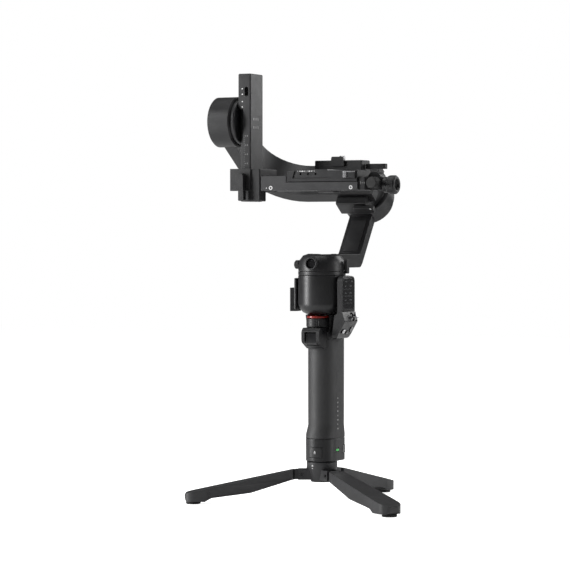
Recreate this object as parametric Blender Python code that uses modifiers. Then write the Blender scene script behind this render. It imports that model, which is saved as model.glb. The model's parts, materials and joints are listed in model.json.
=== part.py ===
"""Handheld three-axis camera gimbal standing on its folding tripod.

Metres, +Z up.  The lens looks along -Y, the tilt motor is on -X, the screen on +X.
The pan axis is the world Z axis until the last step, which moves the whole
assembly so that the origin is at the bottom centre of its bounding box.
"""

import math

import bmesh
import bpy
from mathutils import Matrix, Vector

# ---------------------------------------------------------------- driving sizes
gap = 0.0003                 # clearance between pieces that touch
turn_steps = 40              # sides of a large turned piece
small_steps = 16             # sides of a small turned piece

# tripod
hub_radius = 0.0167
hub_top = 0.0462
hub_waist = 0.038            # the hub tapers below this height
hub_bottom = 0.024
hub_foot_radius = 0.012
hinge_radius = 0.022         # leg pins from the pan axis
hinge_height = 0.032
pin_radius = 0.0015
tongue_half_width = 0.0053   # leg root between the lugs
lug_width = 0.003
leg_length = 0.127           # from the pin to the leg's tip
leg_half_width = 0.0125
leg_root_half_width = 0.0095
leg_thickness = 0.015
leg_tip_thickness = 0.00875
foot_inset = 0.010           # from the leg's tip to the middle of the foot pad
foot_reach = leg_length - foot_inset
foot_radius = 0.008
foot_thickness = 0.0027
first_leg = math.radians(-34)

# collar at the bottom of the grip
collar_top = 0.071
collar_radius = 0.0175
collar_rear = 0.026
rear_corner = 0.007
stud_radius = 0.003175       # 1/4 inch thread
stud_length = 0.0155
latch_half_width = 0.0075
latch_low = 0.051
latch_high = 0.062
latch_travel = 0.0008

# grip
grip_top = 0.178
grip_half_width = 0.017
grip_front_centre = 0.0045   # centre of the rounded front
grip_rear = 0.025
grip_flare_top = 0.085
grip_wall = 0.0021
cell_radius = 0.0079
cell_length = 0.068

# pan motor and clamp
motor_radius = 0.0257
motor_height = 0.0426
motor_base = grip_top + 0.026
motor_top = motor_base + motor_height
motor_wall = 0.002
motor_floor = motor_base + 0.005
shaft_radius = 0.0039
stator_radius = 0.0185
stator_bore = 0.0083
stator_neck = 0.011
turntable_height = 0.0041
cap_height = 0.0187
screw_boss_z = motor_top + 0.0129
screw_boss_radius = 0.0067
screw_boss_front = -motor_radius - 0.0018

# head of the handle, which wraps the back of the pan motor
head_top = motor_base - gap
head_half_width = motor_radius - 0.0037
head_rear = motor_radius + 0.0023
spine_front = 0.012
spine_low = head_top - 0.001
spine_top = motor_top - 0.0006
guard_half_width = 0.0105
guard_front = -0.029
guard_low = grip_top - 0.010
guard_high = grip_top + 0.0125
trigger_half_width = 0.0066
trigger_pivot_y = -0.0225
trigger_pivot_z = grip_top + 0.0055
dial_y = -0.010
dial_radius = 0.0124
dial_low = guard_high + 0.0007
dial_height = 0.0093
dial_ring_height = 0.0026
dial_post_radius = 0.003
board_low = grip_top + 0.003
panel_inner = motor_radius + gap
panel_outer = panel_inner + 0.0056
panel_brow = panel_outer + 0.0036    # the thumb controls' ledge stands out this far
panel_half_depth = 0.016
thumb_top = grip_top + 0.0195
panel_step = motor_base + 0.0035
screen_half_depth = 0.0135
screen_low = motor_base + 0.0065
screen_high = motor_top - 0.0031
screen_recess = 0.001
joystick_y = 0.006
joystick_radius = 0.0042
accessory_thickness = 0.003
accessory_low = motor_base + 0.0055
accessory_high = motor_top - 0.0031
bracket_low = motor_base + 0.009
bracket_high = motor_top - 0.0066
bracket_front = 0.0152

# pan arm: a horizontal foot, then a plate that leans back to the roll motor
arm_half_width = 0.0135
foot_low = motor_top + 0.0077
foot_high = foot_low + 0.0147
foot_front = -0.010
arm_bend = 0.009

# roll axis: it passes through the tilt axis and drops to the rear
tilt_axis_z = motor_top + 0.1674
roll_slope = math.radians(35)
roll_plate_front = 0.1395    # distances along the roll axis from the tilt axis
roll_plate_rear = 0.150
roll_cup_front = 0.133
roll_cup_rear = 0.152
roll_cup_radius = 0.029
roll_cup_wall = 0.0035
roll_cover_radius = 0.0255
roll_cover_thickness = 0.0077
roll_disc_front = 0.1213
roll_disc_radius = 0.024
tongue_half_height = 0.0097
tongue_half_length = 0.020
tongue_depth = 0.0067

# roll arm
bar_front = 0.106            # along the roll axis
bar_rear = 0.120
bar_low = -0.022             # across it
bar_high = 0.018
bar_right_end = 0.025
side_inner = -0.106
side_outer = -0.120
bend_inner_radius = 0.046

# tilt motor
tilt_cup_radius = 0.0275
tilt_cup_left = -0.127
tilt_cup_right = -0.0998
tilt_cup_wall = 0.002
tilt_floor = 0.003
tilt_face = -0.0951
tilt_disc_radius = 0.0248

# tilt bar and height carriage
tilt_bar_left = -0.0948
tilt_bar_right = -0.0793
tilt_bar_half_depth = 0.0148
tilt_bar_low = tilt_axis_z - 0.0875
tilt_bar_high = tilt_axis_z + 0.052
scale_top = tilt_axis_z + 0.013
lock_slot_low = tilt_bar_high - 0.0245
carriage_right = -0.064
carriage_front = -0.0221
carriage_rear = 0.0185
carriage_high = tilt_axis_z - 0.052
jaw_low = tilt_axis_z - 0.076
height_pivot_x = -0.0856
height_pivot_z = tilt_axis_z - 0.0614
height_ring_radius = 0.0046
height_lever_depth = 0.006

# beam, receiver and camera plate
beam_right = 0.052
beam_front = -0.021
beam_rear = 0.014
beam_low = tilt_axis_z - 0.0763
beam_step = beam_low + 0.009
beam_high = beam_step + 0.007
beam_step_x = -0.033
receiver_left = beam_step_x + gap
receiver_right = 0.0517
receiver_high = beam_step + 0.0126
plate_left = -0.025
plate_right = 0.019
plate_low = tilt_axis_z - 0.0627
plate_front = -0.020
plate_rear = 0.066
dovetail_lean = 0.003
block_half_width = 0.0285
block_front = 0.040
block_rear = 0.062
block_low = receiver_high + 0.0011
block_high = block_low + 0.0114
screw_y = 0.051
latch_left = 0.036
knob_axis_z = tilt_axis_z - 0.0705
pinion_x = 0.009
pinion_half_length = 0.005
knob_radius = 0.0098
knob_left = 0.0745
knob_right = 0.089
housing_left = 0.0523
housing_step = 0.061
housing_right = 0.074
lock_knob_radius = 0.0062
lock_knob_x = housing_step + gap + lock_knob_radius
lock_knob_z = knob_axis_z + 0.002

finishes = {
    "satin_black": ((0.030, 0.030, 0.032), 0.45, 0.0),
    "soft_grip": ((0.055, 0.055, 0.057), 0.75, 0.0),
    "grey_metal": ((0.085, 0.085, 0.088), 0.40, 0.8),
    "dark_metal": ((0.045, 0.045, 0.047), 0.38, 0.7),
    "bright_metal": ((0.55, 0.55, 0.56), 0.25, 1.0),
    "gloss_black": ((0.008, 0.008, 0.010), 0.08, 0.0),
    "black_rubber": ((0.020, 0.020, 0.020), 0.85, 0.0),
    "red_ring": ((0.35, 0.045, 0.02), 0.35, 0.0),
    "green_light": ((0.02, 0.45, 0.05), 0.30, 0.0),
    "copper": ((0.60, 0.28, 0.12), 0.35, 1.0),
    "board_green": ((0.02, 0.10, 0.04), 0.50, 0.0),
    "cell_blue": ((0.03, 0.09, 0.25), 0.45, 0.0),
}

for old in list(bpy.data.objects):
    bpy.data.objects.remove(old, do_unlink=True)

parts = bpy.data.collections.new("camera_gimbal")
tools = bpy.data.collections.new("cutters")
bpy.context.scene.collection.children.link(parts)
bpy.context.scene.collection.children.link(tools)

# how a piece drawn along its own Z, or in its own XY plane, is turned into place
lay_along = {
    "X": (0.0, math.pi / 2, 0.0),
    "Y": (-math.pi / 2, 0.0, 0.0),
    "Z": (0.0, 0.0, 0.0),
}
lay_in = {
    "XY": (0.0, 0.0, 0.0),
    "XZ": (math.pi / 2, 0.0, 0.0),
    "YZ": (math.pi / 2, 0.0, math.pi / 2),
}


# ---------------------------------------------------------------- helpers
def empty(name, parent=None, place=(0, 0, 0), turn=(0, 0, 0)):
    holder = bpy.data.objects.new(name, None)
    holder.empty_display_size = 0.01
    parts.objects.link(holder)
    holder.parent = parent
    holder.location = place
    holder.rotation_euler = turn
    return holder


def add(name, mesh, parent, finish, place=(0, 0, 0), turn=(0, 0, 0)):
    """Make an object; with no finish it is a cutter or a joining tool."""
    piece = bpy.data.objects.new(name, mesh)
    piece.parent = parent
    piece.location = place
    piece.rotation_euler = turn
    if finish is None:
        tools.objects.link(piece)
        piece.hide_render = True
        piece.display_type = "WIRE"
        return piece
    parts.objects.link(piece)
    colour, roughness, metallic = finishes[finish]
    material = bpy.data.materials.new(name + "_" + finish)
    material.use_nodes = True
    shader = material.node_tree.nodes["Principled BSDF"]
    shader.inputs["Base Color"].default_value = (*colour, 1.0)
    shader.inputs["Roughness"].default_value = roughness
    shader.inputs["Metallic"].default_value = metallic
    mesh.materials.append(material)
    return piece


def round_edges(piece, width, segments=2, angle=40):
    bevel = piece.modifiers.new("edges", "BEVEL")
    bevel.width = width
    bevel.segments = segments
    bevel.limit_method = "ANGLE"
    bevel.angle_limit = math.radians(angle)
    return piece


def block(name, low, high, parent, finish=None, edge=0.0, segments=2):
    """Box between two corners of the parent's frame."""
    low, high = Vector(low), Vector(high)
    mesh = bpy.data.meshes.new(name)
    form = bmesh.new()
    bmesh.ops.create_cube(form, size=1.0)
    bmesh.ops.scale(form, vec=high - low, verts=form.verts)
    form.to_mesh(mesh)
    form.free()
    piece = add(name, mesh, parent, finish, (low + high) / 2)
    if edge:
        round_edges(piece, edge, segments)
    return piece


def rod(name, radius, start, end, parent, finish=None, along="Z", place=(0, 0, 0),
        steps=small_steps, edge=0.0):
    """Cylinder along one axis of the parent's frame, from start to end on it."""
    mesh = bpy.data.meshes.new(name)
    form = bmesh.new()
    bmesh.ops.create_cone(form, cap_ends=True, segments=steps, radius1=radius,
                          radius2=radius, depth=end - start)
    form.to_mesh(mesh)
    form.free()
    mesh.shade_smooth()
    mesh.set_sharp_from_angle(angle=math.radians(40))
    middle = Vector(place)
    middle["XYZ".index(along)] += (start + end) / 2
    piece = add(name, mesh, parent, finish, middle, lay_along[along])
    if edge:
        round_edges(piece, edge, 1)
    return piece


def turned(name, profile, parent, finish=None, along="Z", place=(0, 0, 0),
           ring=False, steps=turn_steps):
    """Solid of revolution; profile is (radius, height), going down the outer side."""
    mesh = bpy.data.meshes.new(name)
    points = [(radius, 0.0, height) for radius, height in profile]
    edges = [(i, i + 1) for i in range(len(points) - 1)]
    if ring:
        edges.append((len(points) - 1, 0))
    mesh.from_pydata(points, edges, [])
    piece = add(name, mesh, parent, finish, place, lay_along[along])
    screw = piece.modifiers.new("turn", "SCREW")
    screw.steps = steps
    screw.render_steps = steps
    screw.use_merge_vertices = True
    screw.merge_threshold = 0.00001
    return piece


def rounded(corners, steps=3):
    """Closed outline with each (x, y, radius) corner rounded by an arc."""
    outline = []
    count = len(corners)
    for i, (x, y, radius) in enumerate(corners):
        here = Vector((x, y))
        if radius == 0:
            outline.append(here)
            continue
        back = (Vector(corners[i - 1][:2]) - here).normalized()
        ahead = (Vector(corners[(i + 1) % count][:2]) - here).normalized()
        half = back.angle(ahead) / 2
        centre = here + (back + ahead).normalized() * (radius / math.sin(half))
        first = here + back * (radius / math.tan(half)) - centre
        last = here + ahead * (radius / math.tan(half)) - centre
        sweep = first.angle_signed(last)
        for k in range(steps + 1):
            outline.append(centre + Matrix.Rotation(-sweep * k / steps, 2) @ first)
    return outline


def slab(name, outline, thickness, parent, finish=None, plane="XY", place=(0, 0, 0),
         edge=0.0, segments=2):
    """Flat outline given half its thickness each way, then made a mesh."""
    curve = bpy.data.curves.new(name, "CURVE")
    curve.dimensions = "2D"
    curve.fill_mode = "BOTH"
    curve.extrude = thickness / 2
    spline = curve.splines.new("POLY")
    spline.points.add(len(outline) - 1)
    for point, spot in zip(spline.points, outline):
        point.co = (spot[0], spot[1], 0.0, 1.0)
    spline.use_cyclic_u = True
    drawing = bpy.data.objects.new(name + "_outline", curve)
    tools.objects.link(drawing)
    bpy.context.view_layer.update()
    depsgraph = bpy.context.evaluated_depsgraph_get()
    mesh = bpy.data.meshes.new_from_object(drawing.evaluated_get(depsgraph))
    bpy.data.objects.remove(drawing, do_unlink=True)
    form = bmesh.new()
    form.from_mesh(mesh)
    bmesh.ops.remove_doubles(form, verts=form.verts, dist=0.000001)
    bmesh.ops.recalc_face_normals(form, faces=form.faces)
    form.to_mesh(mesh)
    form.free()
    mesh.shade_smooth()
    mesh.set_sharp_from_angle(angle=math.radians(30))
    piece = add(name, mesh, parent, finish, place, lay_in[plane])
    if edge:
        round_edges(piece, edge, segments)
    return piece


def d_outline(half_width, front_centre, rear, corner=rear_corner, front_steps=12, steps=4):
    """Handle section: a half-round front, straight sides and a flat rounded rear."""
    outline = []
    for k in range(front_steps + 1):
        angle = math.pi + math.pi * k / front_steps
        outline.append((half_width * math.cos(angle), front_centre + half_width * math.sin(angle)))
    for side, start in ((1, 0.0), (-1, math.pi / 2)):
        for k in range(steps + 1):
            angle = start + math.pi / 2 * k / steps
            outline.append((side * (half_width - corner) + corner * math.cos(angle),
                            rear - corner + corner * math.sin(angle)))
    return outline


def loft(name, sections, parent, finish=None):
    """Skin between handle sections (height, half_width, front_centre, rear)."""
    mesh = bpy.data.meshes.new(name)
    form = bmesh.new()
    rings = []
    for height, half_width, front_centre, rear in sections:
        outline = d_outline(half_width, front_centre, rear)
        rings.append([form.verts.new((x, y, height)) for x, y in outline])
    count = len(rings[0])
    for lower, upper in zip(rings, rings[1:]):
        for k in range(count):
            after = (k + 1) % count
            form.faces.new((lower[k], lower[after], upper[after], upper[k]))
    form.faces.new(list(reversed(rings[0])))
    form.faces.new(rings[-1])
    form.to_mesh(mesh)
    form.free()
    mesh.shade_smooth()
    mesh.set_sharp_from_angle(angle=math.radians(40))
    return add(name, mesh, parent, finish)


def combine(piece, tool, operation):
    boolean = piece.modifiers.new(operation.lower(), "BOOLEAN")
    boolean.operation = operation
    boolean.object = tool
    boolean.solver = "EXACT"
    return piece


def cut(piece, tool):
    return combine(piece, tool, "DIFFERENCE")


def join(piece, tool):
    return combine(piece, tool, "UNION")


def keep(piece, tool):
    return combine(piece, tool, "INTERSECT")


# ---------------------------------------------------------------- frames
gimbal = empty("gimbal")
pan_axis = empty("pan_axis", gimbal)
arm_slide = empty("arm_slide", pan_axis)
roll_mount = empty("roll_mount", arm_slide, (0, 0, tilt_axis_z), (-roll_slope, 0, 0))
roll_axis = empty("roll_axis", roll_mount)
roll_slide = empty("roll_slide", roll_axis)
tilt_axis = empty("tilt_axis", roll_slide, turn=(roll_slope, 0, 0))
level = empty("level", tilt_axis, (0, 0, -tilt_axis_z))      # world heights again
height_slide = empty("height_slide", level)
plate_slide = empty("plate_slide", height_slide)


# ---------------------------------------------------------------- tripod
def make_tripod():
    hub = turned("tripod_hub", [
        (0.0, hub_top), (hub_radius - 0.001, hub_top), (hub_radius, hub_top - 0.001),
        (hub_radius, hub_waist), (hub_foot_radius, hub_bottom), (0.0, hub_bottom)],
        gimbal, "grey_metal")
    cut(hub, rod("stud_hole_low", stud_radius + gap, hub_top - stud_length / 2, hub_top + 0.002,
                 gimbal))
    collar_socket = stud_length / 2 - 0.002
    rod("tripod_stud", stud_radius, hub_top - stud_length / 2 + gap, hub_top + collar_socket,
        gimbal, "bright_metal")
    for number in range(3):
        angle = first_leg + number * math.radians(120)
        label = str(number + 1)
        spoke = empty("leg_direction_" + label, gimbal, turn=(0, 0, angle))
        hinge = empty("leg_hinge_" + label, spoke, (hinge_radius, 0, hinge_height))
        lug_inner = tongue_half_width + 2 * gap
        for side in (-1, 1):
            edges = sorted((side * lug_inner, side * (lug_inner + lug_width)))
            lug = block("lug_" + label, (-0.012, edges[0], -0.0055), (0.0038, edges[1], 0.0055),
                        hinge)
            join(hub, lug)
        pin_half = lug_inner + lug_width + 0.0006
        rod("leg_pin_" + label, pin_radius, -pin_half, pin_half, hinge, "bright_metal", "Y")
        pin_hole = rod("pin_hole_" + label, pin_radius + gap, -0.02, 0.02, hinge, None, "Y")
        cut(hub, pin_hole)
        make_leg(label, hinge, pin_hole)


def make_leg(label, hinge, pin_hole):
    eye = 0.0045                       # round end about the pin
    sole = foot_thickness + gap - hinge_height
    side = [(-eye, -eye, 0.0042), (0.010, -eye - 0.001, 0.003),
            (leg_length * 0.43, -leg_thickness - 0.0045, 0.02),
            (foot_reach - 0.020, sole + 0.004, 0.004),
            (foot_reach - 0.013, sole, 0.002), (leg_length - 0.002, sole, 0.002),
            (leg_length, sole + leg_tip_thickness, 0.003),
            (0.006, eye + 0.001, 0.006), (-eye, eye, 0.0042)]
    leg = slab("leg_" + label, rounded(side), 0.05, hinge, "dark_metal", "XZ")
    root = tongue_half_width
    shoulder = 0.0095
    plan = [(-0.006, -root, 0), (shoulder - 0.002, -root, 0), (shoulder, -leg_root_half_width, 0),
            (leg_length * 0.8, -leg_half_width, 0.02), (leg_length, -leg_half_width, 0.0115),
            (leg_length, leg_half_width, 0.0115), (leg_length * 0.8, leg_half_width, 0.02),
            (shoulder, leg_root_half_width, 0), (shoulder - 0.002, root, 0), (-0.006, root, 0)]
    keep(leg, slab("leg_plan_" + label, rounded(plan), 0.1, hinge, place=(0, 0, -0.02)))
    cut(leg, pin_hole)
    rod("foot_pad_" + label, foot_radius, -hinge_height, foot_thickness - hinge_height, hinge,
        "black_rubber", place=(foot_reach, 0, 0), edge=0.0006)


# ---------------------------------------------------------------- handle
def make_collar():
    low = hub_top + gap
    collar = slab("grip_collar", d_outline(collar_radius, 0, collar_rear), collar_top - low,
                  gimbal, "satin_black", place=(0, 0, (collar_top + low) / 2))
    round_edges(collar, 0.0006, 1)
    cut(collar, rod("stud_hole_high", stud_radius + gap, hub_top - 0.002,
                    hub_top + stud_length / 2, gimbal))
    depth = 0.0035
    cut(collar, block("latch_pocket",
                      (-latch_half_width - gap, -collar_radius - 0.002, latch_low - gap),
                      (latch_half_width + gap, -collar_radius + depth, latch_high + gap), gimbal))
    button = slab("latch_button", d_outline(collar_radius + 0.0005, 0, collar_rear),
                  latch_high - latch_low, gimbal, "satin_black",
                  place=(0, 0, (latch_high + latch_low) / 2))
    keep(button, block("latch_trim", (-latch_half_width, -collar_radius - 0.002, latch_low),
                       (latch_half_width, -collar_radius + depth - latch_travel - 2 * gap,
                        latch_high), gimbal))
    side_pocket("battery_button", collar, "satin_black", 0.0155, 0.0215, 0.0545, 0.063)
    side_pocket("status_light", collar, "green_light", -0.0005, 0.0055, 0.0565, 0.0605)


def side_pocket(name, body, finish, front, rear, low, high):
    """Small rounded piece let into the collar's +X side."""
    depth = 0.0025
    outer = collar_radius + (0.0003 if finish == "satin_black" else 0.0)
    inner = outer - 0.0012
    cut(body, block(name + "_pocket", (collar_radius - depth, front - gap, low - gap),
                    (collar_radius + 0.002, rear + gap, high + gap), gimbal))
    block(name, (inner, front, low), (outer, rear, high), gimbal, finish, 0.0003, 1)


def make_grip():
    low = collar_top + gap
    grip = loft("grip_shell", [
        (low, collar_radius, 0.0, collar_rear),
        (low + 0.004, collar_radius, 0.0004, collar_rear),
        ((low + grip_flare_top) / 2 + 0.002, (collar_radius + grip_half_width) / 2,
         grip_front_centre * 0.55, (collar_rear + grip_rear) / 2),
        (grip_flare_top, grip_half_width, grip_front_centre, grip_rear),
        (grip_top, grip_half_width, grip_front_centre, grip_rear)], gimbal, "soft_grip")
    floor = low + 0.008
    inside = d_outline(grip_half_width - grip_wall, grip_front_centre, grip_rear - grip_wall,
                       rear_corner - grip_wall)
    cut(grip, slab("battery_bay", inside, grip_top - floor + 0.01, gimbal,
                   place=(0, 0, (grip_top + floor + 0.01) / 2)))
    first = grip_front_centre - grip_half_width + grip_wall + cell_radius + 0.0007
    second = first + 2 * cell_radius - 0.0005
    low_end = floor + 0.001
    cells = rod("battery_pack", cell_radius, low_end, low_end + cell_length, gimbal, "cell_blue",
                place=(0, first, 0))
    join(cells, rod("second_cell", cell_radius, low_end, low_end + cell_length, gimbal,
                    place=(0, second, 0)))
    join(cells, block("pack_wrap", (-cell_radius * 0.8, first, low_end + 0.002),
                      (cell_radius * 0.8, second, low_end + cell_length - 0.002), gimbal))


def motor_profile(grow):
    """Outside of the pan motor, from its rim down to the middle of its base."""
    radius = motor_radius + grow
    return [(radius, motor_top), (radius, motor_base + 0.0120),
            (radius - 0.0014, motor_base + 0.0068), (radius - 0.0054, motor_base + 0.0026),
            (radius - 0.0112, motor_base - grow), (0.0, motor_base - grow)]


def make_head():
    low = grip_top + gap
    front_gap = grip_half_width - grip_front_centre
    head = loft("head_housing", [
        (low, grip_half_width, grip_front_centre, grip_rear),
        (low + 0.0057, grip_half_width + 0.0008, grip_front_centre + 0.0008, grip_rear + 0.0008),
        (head_top, head_half_width, head_half_width - front_gap, head_rear)],
        gimbal, "satin_black")
    spine = [(-head_half_width, spine_front, 0), (head_half_width, spine_front, 0),
             (head_half_width, head_rear, rear_corner), (-head_half_width, head_rear, rear_corner)]
    join(head, slab("spine", rounded(spine, 4), spine_top - spine_low, gimbal,
                    place=(0, 0, (spine_top + spine_low) / 2)))
    cut(head, turned("motor_room", [(0.0, spine_top + 0.01), (motor_radius + gap, spine_top + 0.01)]
                     + motor_profile(gap)[1:], gimbal))
    cut(head, rod("dial_room", dial_radius + 0.0005, dial_low - gap, head_top + 0.003, gimbal,
                  place=(0, dial_y, 0), steps=turn_steps))
    join(head, rod("dial_post", dial_post_radius, dial_low - 0.003,
                   dial_low + dial_height + gap + dial_ring_height, gimbal, place=(0, dial_y, 0)))
    room_half_width = 0.0145
    cut(head, block("board_room", (-room_half_width, 0.0035, board_low),
                    (room_half_width, 0.022, head_top + 0.004), gimbal))
    board_half_width = room_half_width - 0.0015
    block("circuit_board", (-board_half_width, 0.012, board_low + 0.0005),
          (board_half_width, 0.0136, board_low + 0.0195), gimbal, "board_green")
    make_dial()
    make_trigger()
    cut(head, panel_button("power_button", "satin_black", 0.0032, -head_half_width + 0.0012,
                           "X", (0, 0.016, head_top - 0.0082), outward=-1))


def panel_button(name, finish, radius, face, along, place, outward=1, holder=None):
    """Round push button standing 0.8 mm out of its face; returns the hole's cutter."""
    holder = holder or gimbal
    proud, depth = 0.0008, 0.0026
    ends = sorted((face + outward * proud, face - outward * (depth - 0.0012)))
    rod(name, radius, ends[0], ends[1], holder, finish, along, place, edge=0.0003)
    hole = sorted((face + outward * 0.006, face - outward * depth))
    return rod(name + "_hole", radius + gap, hole[0], hole[1], holder, None, along, place)


def make_dial():
    bore = dial_post_radius + gap
    top = dial_low + dial_height
    edge = 0.0006
    turned("front_dial", [
        (bore, top), (dial_radius - edge, top), (dial_radius, top - edge),
        (dial_radius, dial_low + edge), (dial_radius - edge, dial_low), (bore, dial_low)],
        gimbal, "satin_black", place=(0, dial_y, 0), ring=True)
    ring_low = top + gap
    ring_top = ring_low + dial_ring_height - gap
    outer = dial_radius - 0.0005
    turned("dial_ring", [
        (bore, ring_top), (outer - edge, ring_top), (outer, ring_top - edge), (outer, ring_low),
        (bore, ring_low)], gimbal, "red_ring", place=(0, dial_y, 0), ring=True)


def make_trigger():
    side = [(-0.006, guard_low, 0), (-0.0155, guard_low, 0.003),
            (guard_front, guard_low + 0.0075, 0.005), (guard_front, guard_high - 0.004, 0.003),
            (guard_front + 0.0035, guard_high, 0.002), (-0.006, guard_high, 0)]
    guard = slab("trigger_guard", rounded(side), 2 * guard_half_width, gimbal, "satin_black", "YZ",
                 edge=0.0028, segments=3)
    join(guard, rod("dial_shoulder", dial_radius, guard_high - 0.0047, guard_high, gimbal,
                    place=(0, dial_y, 0), steps=turn_steps))
    cut(guard, slab("grip_front", d_outline(grip_half_width + 0.0009, grip_front_centre,
                                            grip_rear), 0.06, gimbal,
                    place=(0, 0, (guard_low + guard_high) / 2)))
    cut(guard, rod("post_room", dial_post_radius + gap, guard_high - 0.0055, guard_high + 0.005,
                   gimbal, place=(0, dial_y, 0)))
    reach = trigger_half_width + gap
    cut(guard, block("trigger_room", (-reach, guard_front - 0.004, guard_low + 0.0035),
                     (reach, -0.0185, guard_high - 0.0043), gimbal))
    pivot = empty("trigger_pivot", gimbal, (0, trigger_pivot_y, trigger_pivot_z))
    shape = [(-0.0046, 0.0020, 0.001), (0.0022, 0.0020, 0.002), (0.0016, -0.0020, 0.004),
             (-0.0006, -0.0108, 0.0008), (-0.0042, -0.0108, 0.0015), (-0.0044, -0.0045, 0.006)]
    slab("trigger", rounded(shape), 2 * trigger_half_width, pivot, "gloss_black", "YZ", edge=0.0005)


def make_panel():
    """Right-hand panel: the screen above, the thumb controls on its sloping lower part."""
    low = grip_top + 0.0008
    chin = grip_half_width + 0.0075
    section = [(grip_half_width + 0.0018, low, 0.0005), (chin, low, 0.003),
               (panel_brow, thumb_top, 0.003), (panel_outer, panel_step, 0.001),
               (panel_outer, spine_top, 0.0015), (panel_inner, spine_top, 0),
               (panel_inner, panel_step - 0.001, 0), (head_half_width + 0.0006, head_top, 0)]
    panel = slab("control_panel", rounded(section), 2 * panel_half_depth, gimbal, "satin_black",
                 "XZ")
    face = [(-panel_half_depth, low - 0.0013, 0.006), (panel_half_depth, low - 0.0013, 0.006),
            (panel_half_depth, spine_top, 0.006), (-panel_half_depth, spine_top, 0.006)]
    keep(panel, slab("panel_outline", rounded(face), 0.08, gimbal, plane="YZ"))
    join(panel, block("panel_bracket", (head_half_width + gap, bracket_front, motor_base + 0.004),
                      (panel_inner + 0.002, 0.022, bracket_high), gimbal))
    window = [(-screen_half_depth, screen_low), (screen_half_depth, screen_low),
              (screen_half_depth, screen_high), (-screen_half_depth, screen_high)]
    grown = [(y + math.copysign(gap, y), z + (gap if z == screen_high else -gap), 0.004)
             for y, z in window]
    cut(panel, slab("screen_room", rounded(grown), 0.02, gimbal, plane="YZ",
                    place=(panel_outer - screen_recess + 0.01, 0, 0)))
    slab("screen", rounded([(y, z, 0.004) for y, z in window]), screen_recess - gap, gimbal,
         "gloss_black", "YZ", (panel_outer - (screen_recess - gap) / 2, 0, 0))
    upper_tilt = math.atan2(panel_brow - panel_outer, panel_step - thumb_top)
    stick = empty("joystick_pivot", gimbal, ((panel_brow + panel_outer) / 2, joystick_y,
                                             (thumb_top + panel_step) / 2 - 0.0003),
                  (0, -upper_tilt, 0))
    cut(panel, rod("joystick_room", joystick_radius + 0.0006, -0.0040, 0.006, stick, along="X",
                   place=(0, 0, 0)))
    rod("joystick_yoke", 0.0030, -0.0028, -0.0006, stick, "satin_black", "X")
    turned("joystick_cap", [
        (0.0, 0.0062), (0.0030, 0.0062), (0.0037, 0.0056), (0.0032, 0.0044), (0.0015, 0.0036),
        (0.0015, 0.0001), (0.0, 0.0001)], stick, "bright_metal", "X", steps=small_steps)
    slope = math.atan2(panel_brow - chin, thumb_top - grip_top)
    pad = empty("thumb_pad", gimbal, ((panel_brow + chin) / 2, 0, (thumb_top + grip_top) / 2),
                (0, slope, 0))
    cut(panel, panel_button("record_button", "satin_black", 0.0034, 0, "X", (0, 0.0095, 0.001),
                            holder=pad))
    cut(panel, panel_button("mode_button", "satin_black", 0.0024, 0, "X", (0, 0.0015, -0.003),
                            holder=pad))
    cut(panel, block("mode_room", (-0.0022, -0.0135, -0.0035), (0.004, -0.0035, 0.0015), pad))
    block("mode_switch", (-0.0019, -0.0110, -0.0032), (0.0012, -0.0060, 0.0012), pad,
          "bright_metal", 0.0003, 1)


def make_accessory_mount():
    """Left-hand mounting plate with a flat dovetail block."""
    inner = -panel_inner
    outer = inner - accessory_thickness
    mount = block("accessory_mount", (outer, -0.010, accessory_low), (inner, 0.022, accessory_high),
                  gimbal, "satin_black", 0.001)
    join(mount, block("mount_bracket", (inner - 0.001, bracket_front, bracket_low),
                      (-head_half_width - gap, 0.0215, bracket_high), gimbal))
    half, lean = 0.008, 0.0018
    wedge = [(-half + lean, outer + 0.0005, 0), (half - lean, outer + 0.0005, 0),
             (half, outer - 0.006, 0.0006), (-half, outer - 0.006, 0.0006)]
    rail = slab("dovetail_rail", [(p.y, p.x) for p in reversed(rounded(wedge))], 0.0254, gimbal,
                place=(0, 0, motor_base + 0.0163))
    join(mount, rail)


# ---------------------------------------------------------------- pan motor
def make_pan_motor():
    inner = motor_radius - motor_wall
    turned("pan_motor_housing", [(0.0, motor_floor), (inner - 0.006, motor_floor),
                                 (inner, motor_base + 0.0125), (inner, motor_top)]
           + motor_profile(0.0),
           gimbal, "satin_black")
    stator_foot = motor_floor + gap
    stator_top = motor_top - 0.0091
    stator_low = motor_floor + 0.0125
    turned("pan_stator", [
        (stator_bore, stator_top), (stator_radius, stator_top), (stator_radius, stator_low),
        (stator_neck, stator_low), (stator_neck, stator_foot), (stator_bore, stator_foot)],
        gimbal, "copper", ring=True, steps=small_steps)
    bearing_low = stator_low + 0.003
    bearing_top = bearing_low + 0.006
    outer_race = stator_bore - gap
    turned("pan_bearing", [
        (shaft_radius + gap, bearing_top), (outer_race, bearing_top), (outer_race, bearing_low),
        (shaft_radius + gap, bearing_low)], gimbal, "bright_metal", ring=True, steps=small_steps)
    low = motor_top + gap
    magnet = stator_radius + 0.0007
    skirt = inner - 0.0005
    skirt_low = stator_low - 0.0025
    ceiling = stator_top + 0.003
    turned("pan_rotor", [
        (0.0, low + turntable_height), (motor_radius, low + turntable_height), (motor_radius, low),
        (skirt, low), (skirt, skirt_low), (magnet, skirt_low), (magnet, ceiling),
        (shaft_radius, ceiling), (shaft_radius, stator_foot + 0.001),
        (0.0, stator_foot + 0.001)], pan_axis, "dark_metal")


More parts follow.
